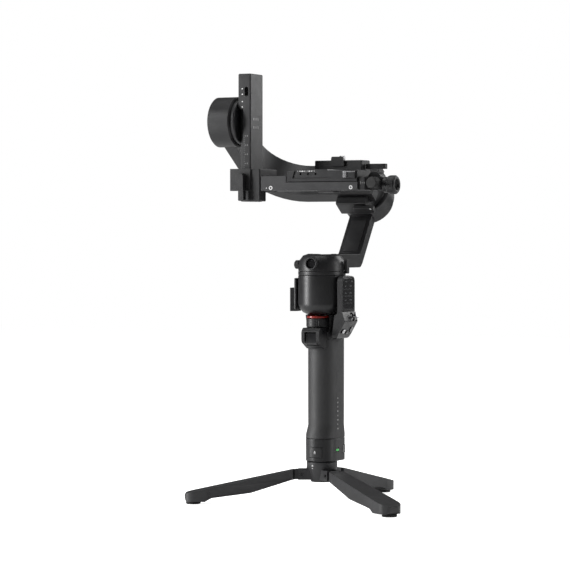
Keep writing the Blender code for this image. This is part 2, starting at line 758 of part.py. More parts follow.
def make_pan_clamp():
    low = motor_top + gap + turntable_height + gap
    top = low + cap_height
    cap = turned("pan_clamp", [
        (0.0, top), (motor_radius - 0.0107, top - 0.0002), (motor_radius - 0.0052, top - 0.0022),
        (motor_radius - 0.0017, top - 0.0068), (motor_radius - 0.0002, top - 0.0125),
        (motor_radius, low), (0.0, low)], pan_axis, "satin_black")
    join(cap, rod("screw_boss", screw_boss_radius, screw_boss_front, screw_boss_front + 0.0135,
                  pan_axis, None, "Y", (0, 0, screw_boss_z), edge=0.0006))
    cut(cap, rod("screw_room", screw_boss_radius - 0.0014, screw_boss_front - 0.0025,
                 screw_boss_front + 0.006, pan_axis, None, "Y", (0, 0, screw_boss_z)))
    slack = arm_half_width + gap
    cut(cap, block("foot_channel", (-slack, foot_front - 0.0045, foot_low - gap),
                   (slack, motor_radius + 0.0043, top + 0.01), pan_axis))
    rod("pan_clamp_screw", screw_boss_radius - 0.0018, screw_boss_front + 0.002,
        screw_boss_front + 0.006 - gap, pan_axis, "dark_metal", "Y", (0, 0, screw_boss_z),
        edge=0.0004)
    knob_holder = empty("pan_knob_axis", pan_axis, (-motor_radius, 0, screw_boss_z - 0.0015),
                        (0, 0, math.pi))
    turned("pan_knob", [
        (0.0, 0.0062), (0.0038, 0.0062), (0.0045, 0.0054), (0.0045, 0.0012), (0.0036, 0.0004),
        (0.0, 0.0004)], knob_holder, "satin_black", "X", steps=small_steps)
    shape = [(-0.0035, 0.0045, 0.0022), (-0.0030, -0.0105, 0.0016), (0.0030, -0.0105, 0.0016),
             (0.0035, 0.0045, 0.0022)]
    pivot = empty("pan_lever_pivot", pan_axis,
                  (motor_radius + 0.0021, 0.004, screw_boss_z - 0.0005))
    slab("pan_lever", rounded(shape), 0.0032, pivot, "dark_metal", "YZ", edge=0.0004, segments=1)


# ---------------------------------------------------------------- pan arm and roll motor
def on_roll_axis(along, across):
    """World Y and Z of a point given along the roll axis and upward across it."""
    return (along * math.cos(roll_slope) + across * math.sin(roll_slope),
            tilt_axis_z - along * math.sin(roll_slope) + across * math.cos(roll_slope))


def plate_line_y(along, height):
    """World Y where a plane across the roll axis reaches a height."""
    across = (height - tilt_axis_z + along * math.sin(roll_slope)) / math.cos(roll_slope)
    return on_roll_axis(along, across)[0]


def make_pan_arm():
    front_top = on_roll_axis(roll_plate_front, 0.0)
    rear_top = on_roll_axis(roll_plate_rear, 0.0)
    side = [(foot_front, foot_low, 0), (plate_line_y(roll_plate_rear, foot_low), foot_low, arm_bend),
            (*rear_top, 0), (*front_top, 0),
            (plate_line_y(roll_plate_front, foot_high), foot_high, 0.003),
            (foot_front, foot_high, 0)]
    arm = slab("pan_arm", rounded(side), 2 * arm_half_width, arm_slide, "dark_metal", "YZ",
               edge=0.001)
    join(arm, rod("roll_cup", roll_cup_radius, roll_cup_front, roll_cup_rear, roll_mount, None,
                  "Y", steps=turn_steps, edge=0.001))
    cavity = roll_cup_radius - roll_cup_wall
    cut(arm, rod("roll_cavity", cavity, roll_cup_front - 0.01, roll_plate_rear - 0.001, roll_mount,
                 None, "Y", steps=turn_steps))
    panel = slab("arm_panel", rounded([(-0.0095, -0.034, 0.002), (0.0095, -0.034, 0.002),
                                       (0.0095, -0.076, 0.002), (-0.0095, -0.076, 0.002)]),
                 0.002, roll_mount, plane="XZ", place=(0, roll_plate_front, 0))
    cut(arm, panel)
    turned("roll_stator", [
        (0.0083, 0.1487), (0.0110, 0.1487), (0.0110, 0.1465), (0.0200, 0.1465), (0.0200, 0.1370),
        (0.0083, 0.1370)], roll_mount, "copper", "Y", ring=True, steps=small_steps)
    rod("roll_cover", roll_cover_radius, roll_cup_rear + gap,
        roll_cup_rear + gap + roll_cover_thickness, roll_mount, "satin_black", "Y",
        steps=turn_steps, edge=0.002)


def make_roll_motor():
    """Rotor with the dovetail tongue and the clamp jaw that carry the roll arm."""
    rotor = turned("roll_rotor", [
        (0.0, 0.1478), (shaft_radius, 0.1478), (shaft_radius, 0.1355), (0.0207, 0.1355),
        (0.0207, 0.1455), (0.0248, 0.1455), (0.0248, 0.1335), (roll_disc_radius, 0.1325),
        (roll_disc_radius, roll_disc_front), (0.0, roll_disc_front)],
        roll_axis, "dark_metal", "Y")
    tongue_front = bar_rear - tongue_depth
    join(rotor, block("roll_tongue", (-tongue_half_length, tongue_front, -tongue_half_height),
                      (tongue_half_length, roll_disc_front + 0.002, tongue_half_height),
                      roll_axis))
    jaw = [(bar_front + 0.003, bar_low - 0.0105, 0.002), (0.1305, bar_low - 0.0105, 0.003),
           (0.1305, -0.008, 0), (roll_disc_front - 0.0005, -0.008, 0),
           (roll_disc_front - 0.0005, bar_low - gap, 0), (bar_front + 0.003, bar_low - gap, 0)]
    join(rotor, slab("roll_jaw", rounded(jaw), 0.036, roll_axis, plane="YZ"))
    pivot = empty("roll_lever_pivot", roll_axis, (0.008, 0.1160, bar_low - 0.0108))
    outline = [(-0.0052, -0.0052, 0.0034), (0.0200, -0.0042, 0.0022),
               (0.0200, 0.0042, 0.0022), (-0.0052, 0.0052, 0.0034)]
    slab("roll_lever", rounded(outline), 0.0052, pivot, "dark_metal", place=(0, 0, -0.0026),
         edge=0.0006, segments=1)


def make_roll_arm():
    """Bar behind the camera, a wide bend, and a side plate that ends in the tilt motor."""
    outer_bend = bend_inner_radius - side_outer + side_inner
    path = [(bar_right_end, bar_front, 0.002), (bar_right_end, bar_rear, 0.002),
            (side_outer, bar_rear, outer_bend), (side_outer, 0.0, 0), (side_inner, 0.0, 0),
            (side_inner, bar_front, bend_inner_radius)]
    middle = (bar_high + bar_low) / 2
    arm = slab("roll_arm", rounded(path, 10), bar_high - bar_low, roll_slide, "dark_metal",
               place=(0, 0, middle), edge=0.0025, segments=1)
    join(arm, rod("tilt_cup", tilt_cup_radius, tilt_cup_left, tilt_cup_right, roll_slide, None,
                  "X", steps=turn_steps, edge=0.0015))
    cut(arm, rod("tilt_cavity", tilt_cup_radius - tilt_cup_wall, tilt_cup_left + tilt_floor,
                 tilt_cup_right + 0.02, roll_slide, None, "X", steps=turn_steps))
    cut(arm, block("tongue_groove",
                   (-tongue_half_length - 0.021, bar_rear - tongue_depth - gap,
                    -tongue_half_height - gap),
                   (bar_right_end + 0.01, bar_rear + 0.01, tongue_half_height + gap), roll_slide))
    for height in (-0.006, 0.004):
        ridge = block("bar_flute", (-0.045, bar_front - 0.01, height), (bar_right_end + 0.01,
                      bar_front + 0.0012, height + 0.004), roll_slide)
        cut(arm, ridge)
    foot = tilt_cup_left + tilt_floor + gap
    turned("tilt_stator", [
        (0.0083, -0.1040), (0.0205, -0.1040), (0.0205, -0.1150), (0.0110, -0.1150),
        (0.0110, foot), (0.0083, foot)], roll_slide, "copper", "X", ring=True,
        steps=small_steps)


# ---------------------------------------------------------------- tilt side
def make_tilt_bar():
    skirt = tilt_disc_radius
    turned("tilt_rotor", [
        (0.0, tilt_face), (skirt - 0.001, tilt_face), (skirt, tilt_face - 0.001),
        (skirt, -0.1165), (0.0212, -0.1165), (0.0212, -0.1020), (shaft_radius, -0.1020),
        (shaft_radius, -0.1225), (0.0, -0.1225)], tilt_axis, "dark_metal", "X")
    bar = block("tilt_bar", (tilt_bar_left, -tilt_bar_half_depth, tilt_bar_low),
                (tilt_bar_right, tilt_bar_half_depth, tilt_bar_high), level, "dark_metal", 0.0012)
    cut(bar, block("scale_rebate", (tilt_bar_left - 0.01, -tilt_bar_half_depth - 0.01,
                                    tilt_bar_low - 0.01),
                   (tilt_bar_left + 0.0058, -tilt_bar_half_depth + 0.0058, scale_top), level))
    left, right = tilt_bar_left + 0.0084, tilt_bar_left + 0.0126
    high = lock_slot_low + 0.010
    slot = [(left, lock_slot_low, 0.0020), (right, lock_slot_low, 0.0020), (right, high, 0.0020),
            (left, high, 0.0020)]
    cut(bar, slab("lock_slot", rounded(slot), 0.008, level, plane="XZ",
                  place=(0, -tilt_bar_half_depth, 0)))


def make_carriage():
    left = tilt_bar_right + gap
    carriage = block("height_carriage", (left, carriage_front, tilt_bar_low),
                     (carriage_right, carriage_rear, carriage_high), height_slide, "grey_metal",
                     0.0008, 1)
    jaw_rear = -tilt_bar_half_depth - gap
    join(carriage, block("front_jaw", (-0.1000, carriage_front - 0.0015, jaw_low),
                         (left + 0.004, jaw_rear, carriage_high), height_slide))
    join(carriage, block("rear_jaw", (-0.0880, tilt_bar_half_depth + gap, jaw_low),
                         (left + 0.004, carriage_rear, carriage_high), height_slide))
    pivot = empty("height_lever_pivot", height_slide,
                  (height_pivot_x, carriage_front - 0.0015 - gap, height_pivot_z))
    stem_low = tilt_bar_low + 0.0005 - height_pivot_z
    shape = [(-0.0044, 0.0044, 0.0028), (-0.0044, -0.0050, 0.0016), (-0.0012, -0.0068, 0.0006),
             (-0.0012, stem_low, 0.0012), (0.0054, stem_low, 0.0012), (0.0044, 0.0044, 0.0028)]
    slab("height_lever", rounded(shape), height_lever_depth, pivot, "dark_metal", "XZ",
         (0, -height_lever_depth / 2, 0), edge=0.0006, segments=1)


def shaft_tunnel(name):
    return rod(name, 0.0022 + gap, pinion_x, housing_right + 0.002, height_slide, None, "X",
               (0, 0, knob_axis_z))


def pinion_pocket(name):
    radius = plate_low - gap - knob_axis_z
    half = pinion_half_length + 2 * gap
    return rod(name, radius + gap, pinion_x - half, pinion_x + half, height_slide, None, "X",
               (0, 0, knob_axis_z), steps=turn_steps)


def make_beam():
    left = carriage_right + gap
    side = [(left, beam_low, 0), (beam_right, beam_low, 0.001), (beam_right, beam_step, 0),
            (beam_step_x, beam_step, 0), (beam_step_x, beam_high, 0.001),
            (left, beam_high, 0)]
    depth = beam_rear - beam_front
    middle = (beam_rear + beam_front) / 2
    beam = slab("camera_beam", rounded(side), depth, height_slide, "grey_metal", "XZ",
                (0, middle, 0), edge=0.0006, segments=1)
    belly = [(-0.0125, beam_low + 0.001, 0), (-0.009, beam_low - 0.0022, 0.002),
             (0.009, beam_low - 0.0022, 0.002), (0.0125, beam_low + 0.001, 0)]
    join(beam, slab("pinion_belly", rounded(belly), 0.018, height_slide, plane="YZ",
                    place=(pinion_x, 0, 0)))
    cut(beam, pinion_pocket("pinion_pocket_low"))
    cut(beam, shaft_tunnel("shaft_tunnel_low"))


def dovetail(grow):
    """Cross-section of the sliding plate, narrowest at its top."""
    half = (plate_right - plate_left) / 2 + grow
    middle = (plate_right + plate_left) / 2
    return [(middle - half, plate_low - grow, 0), (middle + half, plate_low - grow, 0),
            (middle + half - dovetail_lean, block_low + grow, 0),
            (middle - half + dovetail_lean, block_low + grow, 0)]


def make_receiver():
    low = beam_step + gap
    receiver = block("plate_receiver", (receiver_left, beam_front, low),
                     (receiver_right, beam_rear, receiver_high), height_slide, "dark_metal",
                     0.0006, 1)
    cut(receiver, slab("plate_channel", rounded(dovetail(gap)), 0.2, height_slide, plane="XZ"))
    cut(receiver, pinion_pocket("pinion_pocket_high"))
    cut(receiver, shaft_tunnel("shaft_tunnel_high"))
    latch_low = plate_low - 0.0007
    cut(receiver, block("latch_room",
                        (latch_left - gap, beam_front - 0.005, latch_low - gap),
                        (receiver_right - 0.0015 + gap, beam_front + 0.0085, receiver_high + 0.01),
                        height_slide))
    block("plate_latch", (latch_left, beam_front - 0.0022, latch_low),
          (receiver_right - 0.0015, beam_front + 0.0062, receiver_high - 0.001), height_slide,
          "bright_metal", 0.0007)


def make_knobs():
    front = [(housing_left, -0.019, 0), (housing_step, -0.019, 0.002), (housing_step, -0.0068, 0),
             (housing_right, -0.0068, 0.001), (housing_right, 0.010, 0.003),
             (housing_left, 0.010, 0)]
    housing = slab("knob_housing", rounded(front), 0.0142, height_slide, "dark_metal",
                   place=(0, 0, knob_axis_z + 0.0016))
    join(housing, rod("housing_shoulder", 0.0083, -0.0052, 0.0088, height_slide, None, "Y",
                      (0.0645, 0, knob_axis_z + 0.0057)))
    cut(housing, shaft_tunnel("shaft_tunnel_end"))
    knob_front, knob_rear = -0.0200, -0.0071
    edge = 0.0008
    turned("lock_knob", [
        (0.0, knob_rear), (lock_knob_radius - edge, knob_rear),
        (lock_knob_radius, knob_rear - edge), (lock_knob_radius, knob_front + edge),
        (lock_knob_radius - edge, knob_front), (0.0, knob_front)], height_slide, "satin_black",
        "Y", (lock_knob_x, 0, lock_knob_z), steps=small_steps)
    pinion_radius = plate_low - 2 * gap - knob_axis_z
    inner, outer = pinion_x - pinion_half_length, pinion_x + pinion_half_length
    turned("fine_tuning_knob", [
        (0.0, knob_right - 0.0035), (0.0050, knob_right - 0.0035), (0.0062, knob_right),
        (0.0085, knob_right), (knob_radius, knob_right - 0.0013), (knob_radius, 0.0800),
        (0.0084, 0.0785), (0.0084, knob_left), (0.0022, knob_left), (0.0022, outer),
        (pinion_radius, outer), (pinion_radius, inner), (0.0, inner)], height_slide,
        "satin_black", "X", (0, 0, knob_axis_z), steps=small_steps * 2)


def make_plate():
    length = plate_rear - plate_front
    plate = slab("camera_plate", rounded(dovetail(0.0)), length, plate_slide, "dark_metal",
                 "XZ", (0, (plate_rear + plate_front) / 2, 0))
    upper = block("upper_block", (-block_half_width, block_front, block_low - 0.0003),
                  (block_half_width, block_rear, block_high), plate_slide, edge=0.0008, segments=1)
    join(plate, upper)
    tab = [(-0.0085, block_high - 0.0065, 0.001), (0.0085, block_high - 0.0065, 0.001),
           (0.0070, block_high + 0.0040, 0.001), (-0.0070, block_high + 0.0040, 0.001)]
    join(plate, slab("stop_tab", rounded(tab), 0.0025, plate_slide, plane="XZ",
                     place=(0, block_front - 0.0010, 0)))
    for x in (-0.016, -0.007, 0.002):
        cut(plate, rod("front_hole", 0.0012, plate_front - 0.002, plate_front + 0.006, plate_slide,
                       None, "Y", (x, 0, plate_low + 0.0042), steps=12))
    hole, head = stud_radius + gap, 0.0072
    head_low = block_low + 0.0001
    head_high = head_low + 0.0047
    cut(plate, rod("screw_hole", hole, plate_low - 0.005, block_high + 0.005, plate_slide, None,
                   "Z", (0, screw_y, 0)))
    cut(plate, rod("screw_head_room", head + gap, plate_low - 0.005, head_high + gap, plate_slide,
                   None, "Z", (0, screw_y, 0)))
    turned("camera_screw", [
        (0.0, block_high + 0.0052), (stud_radius - 0.0005, block_high + 0.0052),
        (stud_radius, block_high + 0.0045), (stud_radius, head_high), (head, head_high),
        (head, head_low), (0.0, head_low)], plate_slide, "bright_metal", "Z", (0, screw_y, 0),
        steps=small_steps)
    pivot = empty("plate_lever_pivot", plate_slide,
                  (block_half_width + 0.0058, screw_y, block_low + 0.0045))
    outline = [(-0.0046, -0.0046, 0.0028), (0.0190, -0.0036, 0.0018), (0.0190, 0.0036, 0.0018),
               (-0.0046, 0.0046, 0.0028)]
    slab("plate_lever", rounded(outline), 0.0058, pivot, "dark_metal", edge=0.0006,
         segments=1)


def settle():
    """Put the origin at the bottom centre of everything's bounding box."""
    bpy.context.view_layer.update()
    depsgraph = bpy.context.evaluated_depsgraph_get()
    spots = []
    for piece in parts.objects:
        if piece.type == "MESH":
            shown = piece.evaluated_get(depsgraph)
            spots += [shown.matrix_world @ vertex.co for vertex in shown.data.vertices]
    low = Vector([min(spot[k] for spot in spots) for k in range(3)])
    high = Vector([max(spot[k] for spot in spots) for k in range(3)])
    middle = (low + high) / 2
    gimbal.location = (-middle.x, -middle.y, -low.z)
    bpy.context.view_layer.update()


make_tripod()
make_collar()
make_grip()
make_head()
make_panel()
make_accessory_mount()
make_pan_motor()
make_pan_clamp()
make_pan_arm()
make_roll_motor()
make_roll_arm()
make_tilt_bar()
make_carriage()
make_beam()
make_receiver()
make_knobs()
make_plate()
settle()
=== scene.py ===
import json
import math

import bmesh
import bpy
from mathutils import Matrix, Vector


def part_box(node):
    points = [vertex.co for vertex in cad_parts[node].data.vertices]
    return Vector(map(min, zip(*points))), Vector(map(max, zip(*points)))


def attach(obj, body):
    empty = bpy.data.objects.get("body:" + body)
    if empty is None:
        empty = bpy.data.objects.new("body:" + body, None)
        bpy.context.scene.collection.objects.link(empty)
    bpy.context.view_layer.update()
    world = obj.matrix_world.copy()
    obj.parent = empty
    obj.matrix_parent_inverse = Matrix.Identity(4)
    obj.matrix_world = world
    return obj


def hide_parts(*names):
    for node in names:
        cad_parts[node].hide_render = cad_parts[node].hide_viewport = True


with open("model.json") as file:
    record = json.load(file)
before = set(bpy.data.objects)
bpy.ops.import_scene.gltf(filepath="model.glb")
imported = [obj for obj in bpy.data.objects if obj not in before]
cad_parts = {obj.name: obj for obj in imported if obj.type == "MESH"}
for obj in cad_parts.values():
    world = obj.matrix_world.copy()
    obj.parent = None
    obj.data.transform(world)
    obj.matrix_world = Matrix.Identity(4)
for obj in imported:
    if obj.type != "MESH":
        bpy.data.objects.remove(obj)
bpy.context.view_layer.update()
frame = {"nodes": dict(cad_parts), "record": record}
nodes = frame["nodes"]
joints = {joint["name"]: joint for joint in frame["record"]["behaviour"]["joints"]}
panAxis = Vector(joints["pan"]["pos_m"])
tiltAxis = Vector(joints["tilt"]["pos_m"])
rollAxis = Vector(joints["roll"]["axis"])
print("frame loaded,", len(nodes), "parts")


def only(piece):
    # nothing but this piece stays selected, and it is the active one
    bpy.ops.object.select_all(action="DESELECT")
    piece.select_set(True)
    bpy.context.view_layer.objects.active = piece


def apply(piece, kind, **settings):
    only(piece)
    modifier = piece.modifiers.new(kind.title(), kind)
    for key, value in settings.items():
        setattr(modifier, key, value)
    bpy.ops.object.modifier_apply(modifier=modifier.name)


def soften(piece, width, segments=3, angle=32):
    apply(piece, "BEVEL", width=width, segments=segments, limit_method="ANGLE",
          angle_limit=math.radians(angle), miter_outer="MITER_ARC", harden_normals=False)
    only(piece)
    bpy.ops.object.shade_smooth_by_angle(angle=math.radians(34))
    apply(piece, "WEIGHTED_NORMAL", keep_sharp=True, weight=60)


def settle(piece):
    # the place goes into the mesh, and the object sits at the origin
    only(piece)
    bpy.ops.object.transform_apply(location=True, rotation=True, scale=True)


def dress(piece, body, material):
    piece.data.materials.clear()
    piece.data.materials.append(material)
    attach(piece, body)
    return piece


def pickFaces(piece, test):
    # selects the faces that pass the test and leaves the piece in edit mode
    only(piece)
    bpy.ops.object.mode_set(mode="EDIT")
    bpy.ops.mesh.select_mode(type="FACE")
    bpy.ops.mesh.select_all(action="DESELECT")
    form = bmesh.from_edit_mesh(piece.data)
    for face in form.faces:
        face.select_set(bool(test(face)))
    bmesh.update_edit_mesh(piece.data)


def leaveEdit():
    bpy.ops.object.mode_set(mode="OBJECT")


def copyOf(node, name):
    # a merged copy of a part's mesh with its flat faces whole again
    piece = bpy.data.objects.new(name, nodes[node].data.copy())
    bpy.context.scene.collection.objects.link(piece)
    only(piece)
    bpy.ops.object.mode_set(mode="EDIT")
    bpy.ops.mesh.select_all(action="SELECT")
    bpy.ops.mesh.remove_doubles(threshold=0.00001)
    bpy.ops.mesh.dissolve_limited(angle_limit=math.radians(0.8))
    leaveEdit()
    return piece


def makeSurfaceGroup():
    # grain, cloudy tone and handling marks that every finish shares
    group = bpy.data.node_groups.new("surfaceDetail", "ShaderNodeTree")
    for name, start in (("grainScale", 900.0), ("cloudScale", 18.0), ("cloudAmount", 0.2),
                        ("roughBase", 0.4), ("roughSpread", 0.12)):
        socket = group.interface.new_socket(name, in_out="INPUT", socket_type="NodeSocketFloat")
        socket.default_value = start
    for name in ("darkColor", "lightColor"):
        group.interface.new_socket(name, in_out="INPUT", socket_type="NodeSocketColor")
    group.interface.new_socket("color", in_out="OUTPUT", socket_type="NodeSocketColor")
    for name in ("roughness", "height"):
        group.interface.new_socket(name, in_out="OUTPUT", socket_type="NodeSocketFloat")
    tree, link = group.nodes, group.links.new
    source = tree.new("NodeGroupInput")
    result = tree.new("NodeGroupOutput")
    spot = tree.new("ShaderNodeTexCoord")
    grain = tree.new("ShaderNodeTexNoise")
    grain.inputs["Detail"].default_value = 3.0
    cloud = tree.new("ShaderNodeTexNoise")
    cloud.inputs["Detail"].default_value = 4.0
    cloud.inputs["Roughness"].default_value = 0.6
    smear = tree.new("ShaderNodeTexNoise")      # long soft marks left by hands
    smear.inputs["Detail"].default_value = 5.0
    smear.inputs["Distortion"].default_value = 1.4
    for texture in (grain, cloud, smear):
        link(spot.outputs["Object"], texture.inputs["Vector"])
    link(source.outputs["grainScale"], grain.inputs["Scale"])
    link(source.outputs["cloudScale"], cloud.inputs["Scale"])
    smear.inputs["Scale"].default_value = 55.0
    spread = tree.new("ShaderNodeMapRange")
    spread.inputs["From Min"].default_value = 0.35
    spread.inputs["From Max"].default_value = 0.65
    link(cloud.outputs["Fac"], spread.inputs["Value"])
    amount = tree.new("ShaderNodeMath")
    amount.operation = "MULTIPLY"
    link(spread.outputs["Result"], amount.inputs[0])
    link(source.outputs["cloudAmount"], amount.inputs[1])
    tone = tree.new("ShaderNodeMix")
    tone.data_type = "RGBA"
    link(amount.outputs[0], tone.inputs["Factor"])
    link(source.outputs["darkColor"], tone.inputs["A"])
    link(source.outputs["lightColor"], tone.inputs["B"])
    centred = tree.new("ShaderNodeMath")
    centred.operation = "SUBTRACT"
    centred.inputs[1].default_value = 0.5
    link(smear.outputs["Fac"], centred.inputs[0])
    rough = tree.new("ShaderNodeMath")
    rough.operation = "MULTIPLY_ADD"
    link(centred.outputs[0], rough.inputs[0])
    link(source.outputs["roughSpread"], rough.inputs[1])
    link(source.outputs["roughBase"], rough.inputs[2])
    link(tone.outputs["Result"], result.inputs["color"])
    link(rough.outputs[0], result.inputs["roughness"])
    link(grain.outputs["Fac"], result.inputs["height"])
    return group


surfaceDetail = makeSurfaceGroup()

finishes = {
    # dark and light tone, base roughness, its spread, grain size, grain depth, metal, coat
    "satinBlack": {"dark": (0.007, 0.007, 0.008), "light": (0.015, 0.015, 0.016), "rough": 0.40,
                   "spread": 0.22, "grain": 2600, "depth": 0.10, "metal": 0.0, "coat": 0.0},
    "motorShell": {"dark": (0.012, 0.012, 0.013), "light": (0.021, 0.021, 0.022), "rough": 0.34,
                   "spread": 0.18, "grain": 3000, "depth": 0.06, "metal": 0.15, "coat": 0.0},
    "gripSkin": {"dark": (0.024, 0.024, 0.025), "light": (0.036, 0.036, 0.037), "rough": 0.55,
                 "spread": 0.20, "grain": 1700, "depth": 0.22, "metal": 0.0, "coat": 0.0},
    "greyAnodised": {"dark": (0.026, 0.026, 0.027), "light": (0.042, 0.042, 0.044), "rough": 0.42,
                     "spread": 0.20, "grain": 3400, "depth": 0.09, "metal": 0.25, "coat": 0.0},
    "darkAnodised": {"dark": (0.012, 0.012, 0.013), "light": (0.022, 0.022, 0.023), "rough": 0.40,
                     "spread": 0.20, "grain": 3400, "depth": 0.09, "metal": 0.20, "coat": 0.0},
    "steel": {"dark": (0.42, 0.42, 0.43), "light": (0.62, 0.62, 0.63), "rough": 0.28,
              "spread": 0.16, "grain": 4200, "depth": 0.05, "metal": 1.0, "coat": 0.0},
    "blackScrew": {"dark": (0.030, 0.030, 0.031), "light": (0.060, 0.060, 0.061), "rough": 0.30,
                   "spread": 0.12, "grain": 4200, "depth": 0.05, "metal": 0.9, "coat": 0.0},
    "glossBlack": {"dark": (0.006, 0.006, 0.007), "light": (0.010, 0.010, 0.011), "rough": 0.10,
                   "spread": 0.06, "grain": 900, "depth": 0.01, "metal": 0.0, "coat": 0.6},
    "rubber": {"dark": (0.008, 0.008, 0.008), "light": (0.016, 0.016, 0.016), "rough": 0.72,
               "spread": 0.14, "grain": 1500, "depth": 0.30, "metal": 0.0, "coat": 0.0},
    "redRing": {"dark": (0.20, 0.010, 0.007), "light": (0.30, 0.020, 0.012), "rough": 0.36,
                "spread": 0.12, "grain": 3000, "depth": 0.04, "metal": 0.1, "coat": 0.3},
    "whiteInk": {"dark": (0.62, 0.62, 0.62), "light": (0.78, 0.78, 0.78), "rough": 0.55,
                 "spread": 0.10, "grain": 2500, "depth": 0.05, "metal": 0.0, "coat": 0.0},
    "greyInk": {"dark": (0.20, 0.20, 0.20), "light": (0.30, 0.30, 0.30), "rough": 0.55,
                "spread": 0.10, "grain": 2500, "depth": 0.05, "metal": 0.0, "coat": 0.0},
    "screenInk": {"dark": (0.050, 0.052, 0.055), "light": (0.075, 0.078, 0.082), "rough": 0.30,
                  "spread": 0.10, "grain": 2500, "depth": 0.02, "metal": 0.0, "coat": 0.3},
    "copper": {"dark": (0.42, 0.17, 0.07), "light": (0.62, 0.29, 0.13), "rough": 0.34,
               "spread": 0.12, "grain": 1200, "depth": 0.25, "metal": 1.0, "coat": 0.0},
    "boardGreen": {"dark": (0.010, 0.055, 0.022), "light": (0.02, 0.10, 0.04), "rough": 0.45,
                   "spread": 0.10, "grain": 900, "depth": 0.08, "metal": 0.0, "coat": 0.2},
    "cellWrap": {"dark": (0.018, 0.05, 0.16), "light": (0.03, 0.09, 0.25), "rough": 0.40,
                 "spread": 0.10, "grain": 900, "depth": 0.05, "metal": 0.0, "coat": 0.2},
    "greenLight": {"dark": (0.02, 0.42, 0.05), "light": (0.04, 0.60, 0.08), "rough": 0.25,
                   "spread": 0.05, "grain": 1500, "depth": 0.02, "metal": 0.0, "coat": 0.4},
}


def makeFinish(name, look):
    material = bpy.data.materials.new(name)
    material.use_nodes = True
    tree, link = material.node_tree.nodes, material.node_tree.links.new
    shader = tree["Principled BSDF"]
    detail = tree.new("ShaderNodeGroup")
    detail.node_tree = surfaceDetail
    detail.inputs["grainScale"].default_value = look["grain"]
    detail.inputs["cloudScale"].default_value = 22.0
    detail.inputs["cloudAmount"].default_value = 0.85
    detail.inputs["roughBase"].default_value = look["rough"]
    detail.inputs["roughSpread"].default_value = look["spread"]
    detail.inputs["darkColor"].default_value = (*look["dark"], 1.0)
    detail.inputs["lightColor"].default_value = (*look["light"], 1.0)
    bump = tree.new("ShaderNodeBump")
    bump.inputs["Strength"].default_value = look["depth"]
    bump.inputs["Distance"].default_value = 0.0004
    link(detail.outputs["color"], shader.inputs["Base Color"])
    link(detail.outputs["roughness"], shader.inputs["Roughness"])
    link(detail.outputs["height"], bump.inputs["Height"])
    link(bump.outputs["Normal"], shader.inputs["Normal"])
    shader.inputs["Metallic"].default_value = look["metal"]
    shader.inputs["Coat Weight"].default_value = look["coat"]
    shader.inputs["Coat Roughness"].default_value = 0.12
    if name == "greenLight":
        shader.inputs["Emission Color"].default_value = (0.03, 0.75, 0.10, 1.0)
        shader.inputs["Emission Strength"].default_value = 0.35
    return material


paint = {name: makeFinish(name, look) for name, look in finishes.items()}
print("materials made")

# which finish each CAD part gets, and how wide its softened edges are (metres, 0 keeps it)
partFinish = {
    "tripod_hub": ("greyAnodised", 0.0004), "tripod_stud": ("steel", 0),
    "grip_collar": ("satinBlack", 0.0005), "latch_button": ("satinBlack", 0.0003),
    "battery_button": ("glossBlack", 0.0), "status_light": ("satinBlack", 0.0),
    "grip_shell": ("gripSkin", 0.0004), "battery_pack": ("cellWrap", 0),
    "head_housing": ("satinBlack", 0.0005), "circuit_board": ("boardGreen", 0),
    "trigger_guard": ("satinBlack", 0.0016), "trigger": ("glossBlack", 0.0008),
    "front_dial": ("satinBlack", 0.0), "dial_ring": ("redRing", 0.0003),
    "control_panel": ("satinBlack", 0.0005), "screen": ("glossBlack", 0.0002),
    "joystick_yoke": ("satinBlack", 0), "joystick_cap": ("steel", 0.0002),
    "record_button": ("glossBlack", 0), "mode_button": ("satinBlack", 0),
    "mode_switch": ("steel", 0.0), "power_button": ("satinBlack", 0),
    "accessory_mount": ("satinBlack", 0.0004), "pan_motor_housing": ("motorShell", 0.0004),
    "pan_stator": ("copper", 0), "pan_bearing": ("steel", 0), "pan_rotor": ("darkAnodised", 0.0004),
    "pan_clamp": ("satinBlack", 0.0006), "pan_clamp_screw": ("glossBlack", 0),
    "pan_knob": ("satinBlack", 0), "pan_lever": ("darkAnodised", 0.0004),
    "pan_arm": ("darkAnodised", 0.0007), "roll_stator": ("copper", 0),
    "roll_cover": ("motorShell", 0.0008), "roll_rotor": ("darkAnodised", 0.0005),
    "roll_lever": ("darkAnodised", 0.0005), "roll_arm": ("darkAnodised", 0.0007),
    "tilt_stator": ("copper", 0), "tilt_rotor": ("satinBlack", 0.0004),
    "tilt_bar": ("darkAnodised", 0.0005), "height_carriage": ("darkAnodised", 0.0005),
    "height_lever": ("satinBlack", 0.0005), "camera_beam": ("greyAnodised", 0.0005),
    "plate_receiver": ("darkAnodised", 0.0005), "plate_latch": ("darkAnodised", 0.0003),
    "knob_housing": ("satinBlack", 0.0006), "lock_knob": ("rubber", 0),
    "fine_tuning_knob": ("satinBlack", 0.0003), "camera_plate": ("darkAnodised", 0.0005),
    "camera_screw": ("steel", 0.0002), "plate_lever": ("satinBlack", 0.0005),
}
for number in (1, 2, 3):
    partFinish[f"leg_{number}"] = ("greyAnodised", 0.0007)
    partFinish[f"foot_pad_{number}"] = ("rubber", 0)
    partFinish[f"leg_pin_{number}"] = ("blackScrew", 0)

bodyOf = {node: body for body, members in frame["record"]["behaviour"]["bodies"].items()
          for node in members}


def carve(piece, low, high):
    # takes a box out of a part's copy
    low, high = Vector(low), Vector(high)
    bpy.ops.object.select_all(action="DESELECT")
    bpy.ops.mesh.primitive_cube_add(size=1, location=(low + high) / 2)
    cutter = bpy.context.object
    cutter.dimensions = high - low
    settle(cutter)
    apply(piece, "BOOLEAN", operation="DIFFERENCE", object=cutter, solver="EXACT")
    bpy.data.objects.remove(cutter)


